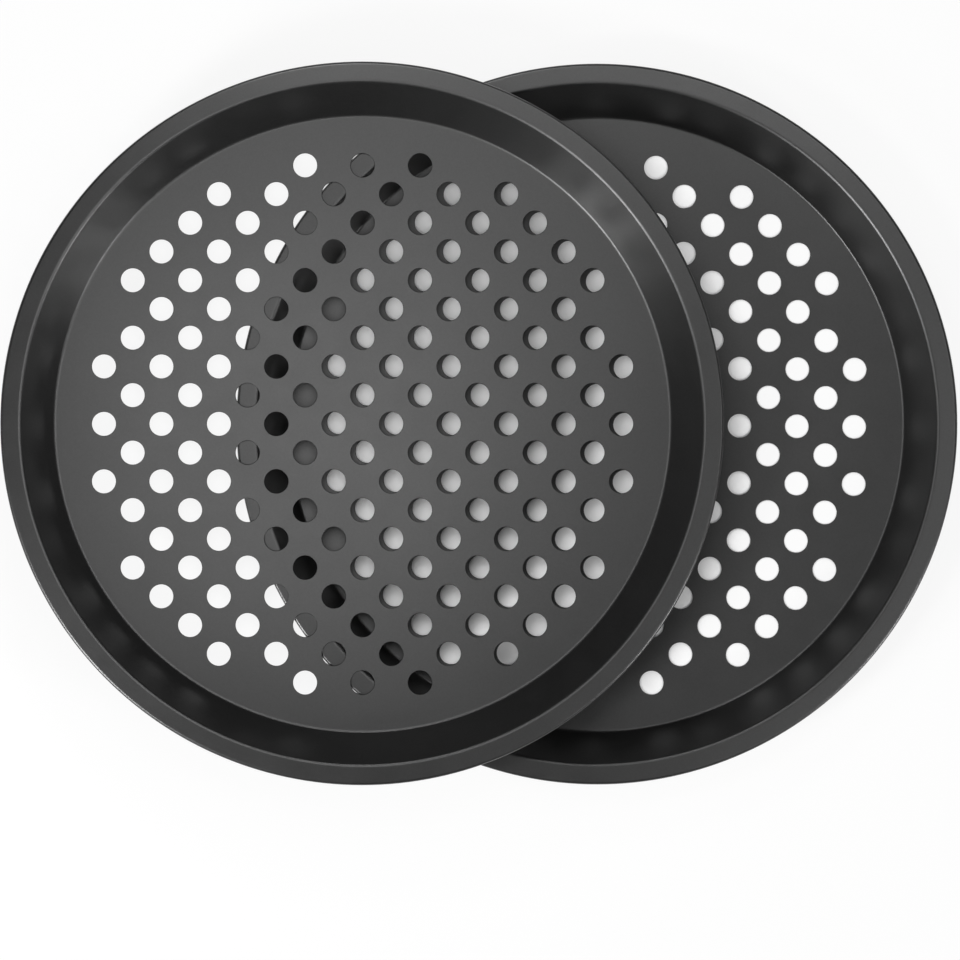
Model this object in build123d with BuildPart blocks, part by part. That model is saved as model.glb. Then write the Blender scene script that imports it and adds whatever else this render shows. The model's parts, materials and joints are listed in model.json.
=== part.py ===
# A pair of round, perforated pizza pans. Each pan is one pressed steel sheet with a
# non-stick coating: a flat floor full of punched holes, a low wall that leans out, a
# flange that falls a little outwards, and an edge rolled under around a hoop of wire.
# The back pan lies on the surface. The front pan lies on the back pan's rim, moved
# to one side, so that part of the back pan's floor shows beside it.
#
# Millimetres, +Z up. The origin is the centre of the back pan's underside.

from build123d import *

import os
from math import cos, hypot, radians, sin, tan

# Sizes of one pan, measured on its upper side unless a comment says otherwise
pan_diameter = 320.0  # over the rolled rim
pan_height = 20.0  # from the surface that it stands on to the top of the rim
sheet_thickness = 0.5  # steel and coating together
flange_width = 8.9  # from the corner at the top of the wall to the outside of the rim
wall_slope = 54.0  # degrees that the wall rises from the floor
flange_slope = 4.0  # degrees that the flange falls from the wall to the rim
floor_bend_radius = 1.7  # between the floor and the wall
rim_bend_radius = 2.0  # between the wall and the flange

# The wired edge
wire_diameter = 1.2
wire_clearance = 0.2  # between the wire and the sheet that is rolled around it
curl_turn = 270.0  # degrees that the sheet turns as it is rolled under

# The perforation: rows of punched holes, in which every second place is left out
hole_diameter = 10.6
hole_row_pitch = 12.75  # between neighbouring rows, and between neighbouring columns
hole_border = 13.9  # from the floor's corner to the circle that holds all hole centres
punch_draw = 0.2  # the punch draws the upper edge of each hole down by this much

# How the pair lies
front_pan_shift = 104.0  # sideways, from the back pan's centre to the front pan's
back_pan_turn = 0.5  # degrees that the back pan lies turned, clockwise from above

# How far each cutting tool runs past the face that it cuts
cut_overrun = 1.0

# The corner of wall and flange. The bend rounds it off, and the bend's top is the pan's
# top, so the corner itself lies a little higher.
wall_rise = radians(wall_slope)
flange_fall = radians(flange_slope)
rim_radius = pan_diameter / 2
flange_corner_radius = rim_radius - flange_width
flange_corner_height = pan_height + rim_bend_radius * (
    cos((wall_rise - flange_fall) / 2) / cos((wall_rise + flange_fall) / 2) - 1
)

# The floor ends where the wall comes down to it
wall_spread = (flange_corner_height - sheet_thickness) / tan(wall_rise)
floor_radius = flange_corner_radius - wall_spread
hole_field_radius = floor_radius - hole_border

# The rolled edge goes on from the end of the flange
curl_radius = wire_diameter / 2 + wire_clearance + sheet_thickness
curl_centre_radius = rim_radius - curl_radius
flange_end_radius = curl_centre_radius + curl_radius * sin(flange_fall)
flange_end_height = flange_corner_height - (
    flange_end_radius - flange_corner_radius
) * tan(flange_fall)
curl_centre_height = flange_end_height - curl_radius * cos(flange_fall)

# Where the two pans stand
back_pan_foot = Plane.XY.rotated((0, 0, -back_pan_turn))
front_pan_foot = Plane(origin=(-front_pan_shift, 0, pan_height))


def hole_centres():
    """Every second crossing of the rows and columns, inside the perforated circle."""
    rows = int(hole_field_radius / hole_row_pitch)
    places = range(-rows, rows + 1)
    return [
        (column * hole_row_pitch, row * hole_row_pitch)
        for row in places
        for column in places
        if (row + column) % 2 == 1
        and hypot(row, column) * hole_row_pitch <= hole_field_radius
    ]


def section_plane(foot):
    """The upright plane through a pan's axis: x runs outwards and y runs up."""
    return Plane(origin=foot.origin, x_dir=foot.x_dir, z_dir=-foot.y_dir)


def pressed_sheet(foot, label):
    """The floor, wall, flange and rolled edge of one pan, all from one steel sheet."""
    with BuildPart() as sheet:
        # Half of the pan's section: its upper side, and the thickness below that
        with BuildSketch(section_plane(foot)):
            with BuildLine():
                face = FilletPolyline(
                    (0, sheet_thickness),
                    (floor_radius, sheet_thickness),
                    (flange_corner_radius, flange_corner_height),
                    (flange_end_radius, flange_end_height),
                    radius=(floor_bend_radius, rim_bend_radius),
                )
                JernArc(
                    start=face @ 1,
                    tangent=face % 1,
                    radius=curl_radius,
                    arc_size=-curl_turn,
                )
                offset(amount=sheet_thickness, side=Side.RIGHT)
            make_face()
        revolve(axis=Axis(foot.origin, foot.z_dir))

        # The holes are punched from above
        with BuildSketch(foot.offset(-cut_overrun)):
            with Locations(*hole_centres()):
                Circle(hole_diameter / 2)
        extrude(amount=cut_overrun + sheet_thickness + cut_overrun, mode=Mode.SUBTRACT)
        floor_face = sheet.faces().filter_by(Plane.XY).sort_by(Axis.Z)[1]
        chamfer(floor_face.inner_wires().edges(), length=punch_draw)
    sheet.part.label = label
    return sheet.part


def wire_hoop(foot, label):
    """The steel wire that stiffens the rim, hidden inside the rolled edge."""
    with BuildPart() as hoop:
        with BuildSketch(section_plane(foot)):
            with Locations((curl_centre_radius, curl_centre_height)):
                Circle(wire_diameter / 2)
        revolve(axis=Axis(foot.origin, foot.z_dir))
    hoop.part.label = label
    return hoop.part


os.makedirs("parts", exist_ok=True)
pieces = [
    pressed_sheet(back_pan_foot, "back_pan_sheet"),
    wire_hoop(back_pan_foot, "back_pan_rim_wire"),
    pressed_sheet(front_pan_foot, "front_pan_sheet"),
    wire_hoop(front_pan_foot, "front_pan_rim_wire"),
]
for piece in pieces:
    export_step(piece, f"parts/{piece.label}.step")
    print(piece.label, "volume", round(piece.volume), "cubic millimetres")
print("holes in each pan:", len(hole_centres()))
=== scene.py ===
# %% [markdown]
# # Dressing a pair of perforated pizza pans
#
# The two pans are already built to size: each is one pressed steel sheet with a hoop of
# wire rolled into its rim. The back pan lies on the table, and the front pan lies on the
# back pan's rim. In this lesson the pans get their finish, and then a camera, a table and
# the studio's lamps. Everything is in metres, in the pans' own frame, so nothing is moved.

import json
from math import cos, pi, radians, sin, tan

import bpy
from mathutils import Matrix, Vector


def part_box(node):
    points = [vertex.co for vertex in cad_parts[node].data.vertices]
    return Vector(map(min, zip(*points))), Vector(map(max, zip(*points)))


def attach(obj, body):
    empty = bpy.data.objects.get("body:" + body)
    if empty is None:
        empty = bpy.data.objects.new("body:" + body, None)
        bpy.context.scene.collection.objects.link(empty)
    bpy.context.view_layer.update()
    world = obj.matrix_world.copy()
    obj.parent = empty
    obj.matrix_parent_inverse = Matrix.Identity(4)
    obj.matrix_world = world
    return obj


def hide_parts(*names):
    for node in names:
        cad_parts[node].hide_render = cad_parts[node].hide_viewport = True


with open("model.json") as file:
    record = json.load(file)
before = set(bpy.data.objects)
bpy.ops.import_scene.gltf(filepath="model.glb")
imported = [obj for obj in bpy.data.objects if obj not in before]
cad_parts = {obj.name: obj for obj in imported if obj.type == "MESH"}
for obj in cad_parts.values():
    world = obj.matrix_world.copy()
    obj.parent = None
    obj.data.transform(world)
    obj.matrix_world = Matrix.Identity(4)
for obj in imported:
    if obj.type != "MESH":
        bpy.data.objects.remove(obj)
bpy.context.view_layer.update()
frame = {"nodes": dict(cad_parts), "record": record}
bpy.ops.object.select_all(action="DESELECT")
MM = 0.001
print("nodes:", ", ".join(sorted(frame["nodes"])))

# %% [markdown]
# ## The camera
#
# The pans are seen from straight above, but for less than a degree. The near pan is 20 mm
# closer than the far one and still looks hardly larger, so the picture was taken from a
# long way off with a long lens. A camera is easiest to place by the point that it looks
# at, the direction that it looks from and its distance. The lens then sets how large the
# pans appear.

# %% Place the camera
VIEW_ELEVATION = 89.36  # degrees above the horizon, from the side nearest the viewer
VIEW_DISTANCE = 5.0
LENS = 422.6  # millimetres, on Blender's usual 36 mm sensor
AIM_X, AIM_Y = -51.9 * MM, -24.9 * MM
FARTHEST_SEEN = 40.0  # past the table's far corner, from any side

back_low, back_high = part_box("back_pan_sheet")
rim_height = back_high.z
view_point = Vector((AIM_X, AIM_Y, rim_height))

camera_data = bpy.data.cameras.new("camera")
camera_data.lens = LENS
camera_data.clip_end = FARTHEST_SEEN
camera = bpy.data.objects.new("camera", camera_data)
bpy.context.collection.objects.link(camera)
elevation = radians(VIEW_ELEVATION)
towards_camera = Vector((0.0, -cos(elevation), sin(elevation)))
camera.location = view_point + towards_camera * VIEW_DISTANCE
camera.rotation_euler = (radians(90.0) - elevation, 0.0, 0.0)
bpy.context.scene.camera = camera
print("camera at", [round(place, 3) for place in camera.location])

# %% [markdown]
# ## The pressed sheets
#
# A press makes the floor, wall, flange and rolled edge of a pan from one round blank. The
# built sheets have the right shape, but their rolled edges are slim triangles that shade in
# dashes. So each sheet keeps its perforated floor, and the rest is made again in even
# steps: half of the pan's section is drawn as a line that runs straight and bends, it is
# spun round the pan's axis, and the line's skin gets the sheet's thickness. Drawing it this
# way takes only the sizes that a maker would give.

# %% Name the sizes of the section
SHEET_THICKNESS = 0.5 * MM
FLANGE_WIDTH = 8.9 * MM  # from the corner at the top of the wall to the outside
WALL_SLOPE = radians(54.0)
FLANGE_FALL = radians(4.0)
FLOOR_BEND = 1.7 * MM  # the bends' radii are those of the upper side
RIM_BEND = 2.0 * MM
CURL_BEND = 1.3 * MM  # the edge is rolled under with this radius, round the wire
CURL_TURN = radians(270.0)

rim_radius = (back_high.x - back_low.x) / 2
rim_turn = WALL_SLOPE + FLANGE_FALL
corner_radius = rim_radius - FLANGE_WIDTH
corner_height = rim_height + RIM_BEND * (
    cos((WALL_SLOPE - FLANGE_FALL) / 2) / cos(rim_turn / 2) - 1
)
wall_rise = corner_height - SHEET_THICKNESS
floor_bend_reach = FLOOR_BEND * tan(WALL_SLOPE / 2)
rim_bend_reach = RIM_BEND * tan(rim_turn / 2)
wall_length = wall_rise / sin(WALL_SLOPE) - floor_bend_reach - rim_bend_reach
floor_edge = corner_radius - wall_rise / tan(WALL_SLOPE) - floor_bend_reach
flange_end = rim_radius - CURL_BEND + CURL_BEND * sin(FLANGE_FALL)
flange_length = (flange_end - corner_radius) / cos(FLANGE_FALL) - rim_bend_reach
print("floor flat to", round(floor_edge / MM, 2), "mm, wall", round(wall_length / MM, 2), "mm")

# %% [markdown]
# A pen draws the section. It keeps its place and its heading, and it draws a run with
# extrude and a bend with spin. A long flat face beside a bend would take some of the bend's
# shade, so each run has a short stretch at both ends.

# %% Make the pen
BEND_STEP = radians(7.5)  # the turn from one face of a bend to the next
END_STRETCH = 0.3 * MM


class SectionPen:
    """Draws a line of edges in the upright plane through a pan's axis."""

    def __init__(self, foot, reach, height):
        self.foot, self.reach, self.height, self.heading = foot, reach, height, 0.0
        bpy.ops.mesh.primitive_plane_add()
        bpy.ops.object.mode_set(mode="EDIT")
        bpy.ops.mesh.select_mode(type="VERT")
        bpy.ops.mesh.select_all(action="SELECT")
        bpy.ops.mesh.merge(type="CENTER")
        bpy.ops.transform.translate(value=self.place(reach, height))

    def place(self, reach, height):
        return self.foot + Vector((reach, 0.0, height))

    def run(self, length):
        """Goes straight on."""
        for stretch in (END_STRETCH, length - 2 * END_STRETCH, END_STRETCH):
            move = Vector((cos(self.heading), 0.0, sin(self.heading))) * stretch
            bpy.ops.mesh.extrude_region_move(TRANSFORM_OT_translate={"value": move})
            self.reach += move.x
            self.height += move.z

    def bend(self, radius, angle):
        """Goes round a bend, upwards if the angle is positive."""
        side = 1.0 if angle > 0.0 else -1.0
        centre_reach = self.reach - side * radius * sin(self.heading)
        centre_height = self.height + side * radius * cos(self.heading)
        bpy.ops.mesh.spin(
            steps=round(abs(angle) / BEND_STEP),
            angle=angle,
            center=self.place(centre_reach, centre_height),
            axis=(0.0, 1.0, 0.0),
        )
        self.heading += angle
        self.reach = centre_reach + side * radius * sin(self.heading)
        self.height = centre_height - side * radius * cos(self.heading)


# %% Spin a rim
TURN_STEPS = 240  # faces round a pan
DOUBLES_APART = 0.001 * MM


def spin_rim(name, foot):
    """The wall, flange and rolled edge of the pan whose underside is centred on foot."""
    pen = SectionPen(foot, floor_edge, SHEET_THICKNESS)
    pen.bend(FLOOR_BEND, WALL_SLOPE)
    pen.run(wall_length)
    pen.bend(RIM_BEND, -rim_turn)
    pen.run(flange_length)
    pen.bend(CURL_BEND, -CURL_TURN)
    bpy.ops.mesh.select_all(action="SELECT")
    bpy.ops.mesh.spin(steps=TURN_STEPS, angle=2 * pi, center=foot, axis=(0.0, 0.0, 1.0))
    bpy.ops.mesh.select_all(action="SELECT")
    bpy.ops.mesh.remove_doubles(threshold=DOUBLES_APART)
    bpy.ops.mesh.normals_make_consistent(inside=False)
    bpy.ops.object.mode_set(mode="OBJECT")
    rim = bpy.context.active_object
    rim.name = rim.data.name = name
    thickness = rim.modifiers.new("thickness", "SOLIDIFY")
    thickness.thickness = SHEET_THICKNESS
    thickness.offset = -1.0
    thickness.use_even_offset = True
    bpy.ops.object.modifier_apply(modifier=thickness.name)
    return rim


# %% [markdown]
# The floor is a copy of the built sheet, of which everything beyond the flat part is
# deleted. Its edge is drawn in a little, so that a narrow flat ring is left between it and
# the rim. There the two are bridged, on the upper and on the lower side.

# %% Cut out a perforated floor
SEAM_WIDTH = 0.3 * MM
PLACE_ERROR = 0.05 * MM


def select_by_place(piece, kind, chosen):
    """Selects the vertices or faces of a piece whose corners all pass a test."""
    bpy.ops.object.mode_set(mode="EDIT")
    bpy.ops.mesh.select_mode(type=kind)
    bpy.ops.mesh.select_all(action="DESELECT")
    bpy.ops.object.mode_set(mode="OBJECT")
    passed = [chosen(vertex.co) for vertex in piece.data.vertices]
    if kind == "VERT":
        piece.data.vertices.foreach_set("select", passed)
    else:
        for face in piece.data.polygons:
            face.select = all(passed[corner] for corner in face.vertices)
    bpy.ops.object.mode_set(mode="EDIT")


def cut_floor(node, foot):
    """A copy of a sheet's flat floor, drawn in at its edge."""
    floor = node.copy()
    floor.data = node.data.copy()
    floor.parent = None
    bpy.context.collection.objects.link(floor)
    bpy.ops.object.select_all(action="DESELECT")
    floor.select_set(True)
    bpy.context.view_layer.objects.active = floor
    bpy.ops.mesh.customdata_custom_splitnormals_clear()
    bpy.ops.object.mode_set(mode="EDIT")
    bpy.ops.mesh.select_all(action="SELECT")
    bpy.ops.mesh.remove_doubles(threshold=DOUBLES_APART)
    select_by_place(floor, "VERT", lambda at: (at - foot).xy.length > floor_edge + PLACE_ERROR)
    bpy.ops.mesh.delete(type="VERT")
    select_by_place(floor, "VERT", lambda at: (at - foot).xy.length > floor_edge - PLACE_ERROR)
    share = 1 - SEAM_WIDTH / floor_edge
    bpy.ops.transform.resize(value=(share, share, 1.0), center_override=foot)
    bpy.ops.object.mode_set(mode="OBJECT")
    return floor


# %% Join a floor and a rim
SHARP_EDGE = radians(30.0)  # the bends' own faces meet at less than this


def join_sheet(floor, rim, foot):
    """Bridges the floor to the rim, on both sides of the sheet."""
    bpy.ops.object.select_all(action="DESELECT")
    floor.select_set(True)
    rim.select_set(True)
    bpy.context.view_layer.objects.active = rim
    bpy.ops.object.join()
    select_by_place(
        rim, "FACE", lambda at: abs((at - foot).xy.length - floor_edge) < PLACE_ERROR
    )
    bpy.ops.mesh.delete(type="FACE")
    middle = foot.z + SHEET_THICKNESS / 2
    for upper_side in (True, False):
        bpy.ops.mesh.select_mode(type="EDGE")
        bpy.ops.mesh.select_all(action="DESELECT")
        bpy.ops.mesh.select_non_manifold(extend=False, use_multi_face=False, use_verts=False)
        bpy.ops.object.mode_set(mode="OBJECT")
        vertices = rim.data.vertices
        for edge in rim.data.edges:
            if edge.select and (vertices[edge.vertices[0]].co.z > middle) != upper_side:
                edge.select = False
        bpy.ops.object.mode_set(mode="EDIT")
        bpy.ops.mesh.bridge_edge_loops()
    bpy.ops.mesh.select_all(action="SELECT")
    bpy.ops.mesh.normals_make_consistent(inside=False)
    bpy.ops.object.mode_set(mode="OBJECT")
    bpy.ops.object.shade_smooth_by_angle(angle=SHARP_EDGE)


# %% Make both sheets
mounts = {mount["name"]: Vector(mount["pos_m"]) for mount in frame["record"]["mounts"]}
pan_feet = {
    "back": mounts["base"],
    "front": mounts["front_pan_floor"] - Vector((0.0, 0.0, SHEET_THICKNESS)),
}
sheets = []
for pan, foot in pan_feet.items():
    node_name = pan + "_pan_sheet"
    sheet = spin_rim(pan + "_pan_pressed_sheet", foot)
    join_sheet(cut_floor(frame["nodes"][node_name], foot), sheet, foot)
    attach(sheet, pan + "_pan")
    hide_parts(node_name)
    sheets.append(sheet)
    print(sheet.name, "has", len(sheet.data.polygons), "faces")

# %% [markdown]
# ## Helpers for materials
#
# Each finish below is a small network of nodes. One helper adds a node with its settings
# and its inputs, so that each line of a finish reads as one step. Two more name the nodes
# that come up most. Colours are written as hex codes, as they look on a screen, and
# Blender wants them linear.

# %% Colour and node helpers
HEX_DIGITS, FULL_CHANNEL = 16, 255
# The sRGB curve is a straight line in its toe, and a shifted power above that.
TOE_END, TOE_SLOPE = 0.04045, 12.92
CURVE_SHIFT, CURVE_POWER = 0.055, 2.4
OPAQUE = 1.0


def linear(hex_code):
    """A colour such as "3a3b3d" as Blender's linear red, green, blue and alpha."""
    colour = []
    for place in (0, 2, 4):
        channel = int(hex_code[place : place + 2], HEX_DIGITS) / FULL_CHANNEL
        if channel <= TOE_END:
            colour.append(channel / TOE_SLOPE)
        else:
            colour.append(((channel + CURVE_SHIFT) / (1 + CURVE_SHIFT)) ** CURVE_POWER)
    return colour + [OPAQUE]


def add_node(tree, kind, settings, inputs):
    """Adds a node. An input is a value, or an output of another node to link."""
    node = tree.nodes.new(kind)
    for option, value in settings.items():
        setattr(node, option, value)
    for name, value in inputs.items():
        if isinstance(value, bpy.types.NodeSocket):
            tree.links.new(value, node.inputs[name])
        else:
            node.inputs[name].default_value = value
    return node


def noise(tree, place, size, detail):
    """Noise with lumps of about the size that is given, in metres."""
    inputs = {"Vector": place, "Scale": 1 / size, "Detail": detail}
    return add_node(tree, "ShaderNodeTexNoise", {}, inputs).outputs["Fac"]


def calculate(tree, operation, first, second):
    """The result of one sum on two values or outputs."""
    inputs = {0: first, 1: second}
    return add_node(tree, "ShaderNodeMath", {"operation": operation}, inputs).outputs[0]


def new_material(name):
    """A material with an empty network."""
    material = bpy.data.materials.new(name)
    material.use_nodes = True
    material.node_tree.nodes.clear()
    return material, material.node_tree


# A colour mix has several inputs called A and B, so they are named here by their number.
MIX_COLOUR = {"data_type": "RGBA"}
MIX_A, MIX_B, MIX_RESULT = 6, 7, 2

# %% [markdown]
# ## The non-stick coating
#
# The sheet is carbon steel, sprayed with a fluoropolymer coating and baked. The coating
# hides the metal, so to the eye it is a nearly black plastic with a satin skin. It is full
# of hard mineral powder, and that raises its gloss above that of a plain fluoropolymer, so
# its IOR is higher than that of the resin alone. The spray leaves a fine grain in colour
# and relief, and a faint mottle in gloss where it lies thicker. All of these are noise on
# the sheet's own coordinates, with sizes in millimetres.

# %% Make the sprayed coating
GRAIN_SIZE = 0.8 * MM  # the real droplets are finer, about 0.1 mm, too fine to show
MOTTLE_SIZE = 9.0 * MM
DRIFT_SIZE = 60.0 * MM
GRAIN_DETAIL, MOTTLE_DETAIL, DRIFT_DETAIL = 2.0, 4.0, 2.0  # how many finer layers each has
COATING_COLOURS = ("0f0f0f", "1d1d1d")
GRAIN_CONTRAST = (0.3, 0.7)  # the part of the noise's range that the two colours span
GLOSS_CONTRAST = (0.7, 1.3)  # the same for the sum of mottle and drift
COATING_ROUGHNESS = (0.335, 0.375)
COATING_IOR = 1.8
GRAIN_RELIEF = 0.15
GRAIN_DEPTH = 0.01 * MM

coating, tree = new_material("sprayed_non_stick_coating")
place = add_node(tree, "ShaderNodeTexCoord", {}, {}).outputs["Object"]
grain = noise(tree, place, GRAIN_SIZE, GRAIN_DETAIL)
mottle = noise(tree, place, MOTTLE_SIZE, MOTTLE_DETAIL)
drift = noise(tree, place, DRIFT_SIZE, DRIFT_DETAIL)

sharp_grain = add_node(
    tree,
    "ShaderNodeMapRange",
    {},
    {"Value": grain, "From Min": GRAIN_CONTRAST[0], "From Max": GRAIN_CONTRAST[1]},
)
skin = add_node(
    tree,
    "ShaderNodeMix",
    MIX_COLOUR,
    {
        "Factor": sharp_grain.outputs[0],
        MIX_A: linear(COATING_COLOURS[0]),
        MIX_B: linear(COATING_COLOURS[1]),
    },
)
satin = add_node(
    tree,
    "ShaderNodeMapRange",
    {},
    {
        "Value": calculate(tree, "ADD", mottle, drift),
        "From Min": GLOSS_CONTRAST[0],
        "From Max": GLOSS_CONTRAST[1],
        "To Min": COATING_ROUGHNESS[0],
        "To Max": COATING_ROUGHNESS[1],
    },
)
relief = add_node(
    tree,
    "ShaderNodeBump",
    {},
    {"Height": grain, "Strength": GRAIN_RELIEF, "Distance": GRAIN_DEPTH},
)
shader = add_node(
    tree,
    "ShaderNodeBsdfPrincipled",
    {},
    {
        "Base Color": skin.outputs[MIX_RESULT],
        "Roughness": satin.outputs[0],
        "IOR": COATING_IOR,
        "Normal": relief.outputs[0],
    },
)
add_node(tree, "ShaderNodeOutputMaterial", {}, {"Surface": shader.outputs[0]})
print("coating grain", GRAIN_SIZE / MM, "mm, mottle", MOTTLE_SIZE / MM, "mm")

# %% [markdown]
# ## The rim wire
#
# The hoop inside the rolled edge is steel wire, drawn through a die and left bare. It only
# shows through the slot under the rim. Drawing leaves fine uneven streaks, which vary its
# gloss.

# %% Make the drawn wire
STREAK_SIZE = 0.5 * MM
STREAK_DETAIL = 3.0
WIRE_COLOURS = ("a9aaab", "c6c7c8")
WIRE_ROUGHNESS = (0.28, 0.45)
METAL = 1.0

drawn_wire, tree = new_material("drawn_steel_wire")
place = add_node(tree, "ShaderNodeTexCoord", {}, {}).outputs["Object"]
streaks = noise(tree, place, STREAK_SIZE, STREAK_DETAIL)
tone = add_node(
    tree,
    "ShaderNodeMix",
    MIX_COLOUR,
    {
        "Factor": streaks,
        MIX_A: linear(WIRE_COLOURS[0]),
        MIX_B: linear(WIRE_COLOURS[1]),
    },
)
polish = add_node(
    tree,
    "ShaderNodeMapRange",
    {},
    {"Value": streaks, "To Min": WIRE_ROUGHNESS[0], "To Max": WIRE_ROUGHNESS[1]},
)
shader = add_node(
    tree,
    "ShaderNodeBsdfPrincipled",
    {},
    {
        "Base Color": tone.outputs[MIX_RESULT],
        "Metallic": METAL,
        "Roughness": polish.outputs[0],
    },
)
add_node(tree, "ShaderNodeOutputMaterial", {}, {"Surface": shader.outputs[0]})

# %% Give each piece its finish
wires = [frame["nodes"][pan + "_pan_rim_wire"] for pan in pan_feet]
for finish, pieces in ((coating, sheets), (drawn_wire, wires)):
    for piece in pieces:
        piece.data.materials.clear()
        piece.data.materials.append(finish)
        print(piece.name, "is", finish.name)

# %% [markdown]
# ## The table
#
# The pans lie on a plain white table. A white surface under a plain level of light is just
# short of white in the picture, so most of what the camera sees of it is plain white.
# Mirror-like and see-through surfaces get the same share. The rest is the lit surface, so
# the table keeps the pans' soft shadow.
#
# Under the back pan the table gets painted shade, and its holes show it. Where the front pan
# hangs close above them, an ambient occlusion node finds how open the table is to light, and
# there the plain white is held back. This painted shade stands in for the light of the room
# that the front pan keeps away.

# %% Lay the table
TABLE_SIZE = 12.0
TABLE_COLOUR, PLAIN_WHITE = "f6f6f6", "ffffff"
PLAIN_WHITE_SHARE = 0.88
# The next two sizes set the painted shade under the back pan: how far it reaches, and over
# which openness it fades.
PAINTED_SHADE_REACH = 45.0 * MM  # how near a surface has to be to shade the table
PAINTED_SHADE_RANGE = (0.76, 0.88)  # the openness at which the shade is full, and none

white, tree = new_material("white_table")
rays = add_node(tree, "ShaderNodeLightPath", {}, {}).outputs
seen_or_mirrored = calculate(tree, "MAXIMUM", rays["Is Camera Ray"], rays["Is Glossy Ray"])
seen_at_all = calculate(tree, "MAXIMUM", seen_or_mirrored, rays["Is Transmission Ray"])

# Painted shade: ambient occlusion holds back the plain white on the table under the back pan's
# floor.
openness = add_node(tree, "ShaderNodeAmbientOcclusion", {}, {"Distance": PAINTED_SHADE_REACH})
open_to_light = add_node(
    tree,
    "ShaderNodeMapRange",
    {},
    {
        "Value": openness.outputs["AO"],
        "From Min": PAINTED_SHADE_RANGE[0],
        "From Max": PAINTED_SHADE_RANGE[1],
    },
)
place = add_node(tree, "ShaderNodeTexCoord", {}, {}).outputs["Object"]
from_axis = add_node(tree, "ShaderNodeVectorMath", {"operation": "LENGTH"}, {0: place})
beyond_floor = calculate(tree, "GREATER_THAN", from_axis.outputs["Value"], floor_edge)
free_of_painted_shade = calculate(tree, "MAXIMUM", open_to_light.outputs[0], beyond_floor)

seen_free_of_painted_shade = calculate(tree, "MULTIPLY", seen_at_all, free_of_painted_shade)
share = calculate(tree, "MULTIPLY", seen_free_of_painted_shade, PLAIN_WHITE_SHARE)
lit = add_node(tree, "ShaderNodeBsdfDiffuse", {}, {"Color": linear(TABLE_COLOUR)})
plain = add_node(tree, "ShaderNodeEmission", {}, {"Color": linear(PLAIN_WHITE)})
surface = add_node(
    tree, "ShaderNodeMixShader", {}, {0: share, 1: lit.outputs[0], 2: plain.outputs[0]}
)
add_node(tree, "ShaderNodeOutputMaterial", {}, {"Surface": surface.outputs[0]})

bpy.ops.mesh.primitive_plane_add(size=TABLE_SIZE, location=(0.0, 0.0, 0.0))
table = bpy.context.active_object
table.name = "table"
table.data.materials.append(white)

# %% [markdown]
# ## The lamps
#
# The picture shows where its lamps stood. A bright patch on the wall at the upper right of
# the back pan, and another at the upper left of the front pan, are each the light of a
# softbox on the opposite side, low down in front. The floors grow lighter away from the
# viewer, so a panel hangs face down over the far side. Weaker ones fill in the rest. The
# brightness of a lamp is that of its face, as the pans' walls mirror it.

# %% Set the softboxes that face the pans
SOFTBOX_DISTANCE = 1.2
SOFTBOX_AIM = Vector((-51.0 * MM, 0.0, rim_height))

# name: (degrees above the horizon, degrees round from +X, width in metres, brightness)
softboxes = {
    "right_front_softbox": (24.0, 326.0, 0.20, 37.5),
    "left_front_softbox": (46.0, 218.0, 0.25, 28.6),
    "left_front_low_softbox": (24.0, 218.0, 0.20, 45.0),
    "right_softbox": (60.0, 0.0, 0.30, 3.04),
    "right_front_high_softbox": (60.0, 315.0, 0.30, 3.25),
}


def hang_lamp(name, place, away, width, brightness):
    """A square lamp at a place, with its back turned in the direction away."""
    light = bpy.data.lights.new(name, "AREA")
    light.shape = "SQUARE"
    light.size = width
    light.energy = pi * width**2 * brightness
    lamp = bpy.data.objects.new(name, light)
    bpy.context.collection.objects.link(lamp)
    lamp.location = place
    lamp.rotation_euler = away.to_track_quat("Z", "Y").to_euler()
    lamp.visible_camera = False
    return lamp


for name, (height, direction, width, brightness) in softboxes.items():
    away = Vector(
        (
            cos(radians(height)) * cos(radians(direction)),
            cos(radians(height)) * sin(radians(direction)),
            sin(radians(height)),
        )
    )
    hang_lamp(name, SOFTBOX_AIM + away * SOFTBOX_DISTANCE, away, width, brightness)
print("softboxes:", ", ".join(softboxes))

# %% Hang the panels that face the table
# name: (x and y of its centre, height above the table, width in metres, brightness)
panels = {
    "left_back_panel": (-0.15, 0.40, 0.45, 0.20, 7.25),
    "right_back_panel": (0.20, 0.40, 0.80, 0.30, 2.92),
    "left_panel": (-0.15, 0.00, 0.45, 0.20, 1.65),
    "middle_panel": (-0.10, 0.10, 0.80, 0.30, 0.96),
}

for name, (x, y, height, width, brightness) in panels.items():
    hang_lamp(name, Vector((x, y, height)), Vector((0.0, 0.0, 1.0)), width, brightness)
print("panels:", ", ".join(panels))

# %% [markdown]
# ## The world and the picture's colours
#
# The studio round the pans is dark, which is what makes their walls nearly black. A dim
# world stands for it. The Standard view shows colours as they are written.

# %% Set the world and the colours
STUDIO_GLOW = 0.03

studio = bpy.data.worlds.new("dark_studio")
bpy.context.scene.world = studio
studio.use_nodes = True
background = studio.node_tree.nodes["Background"]
background.inputs["Color"].default_value = linear(PLAIN_WHITE)
background.inputs["Strength"].default_value = STUDIO_GLOW
bpy.context.scene.view_settings.view_transform = "Standard"
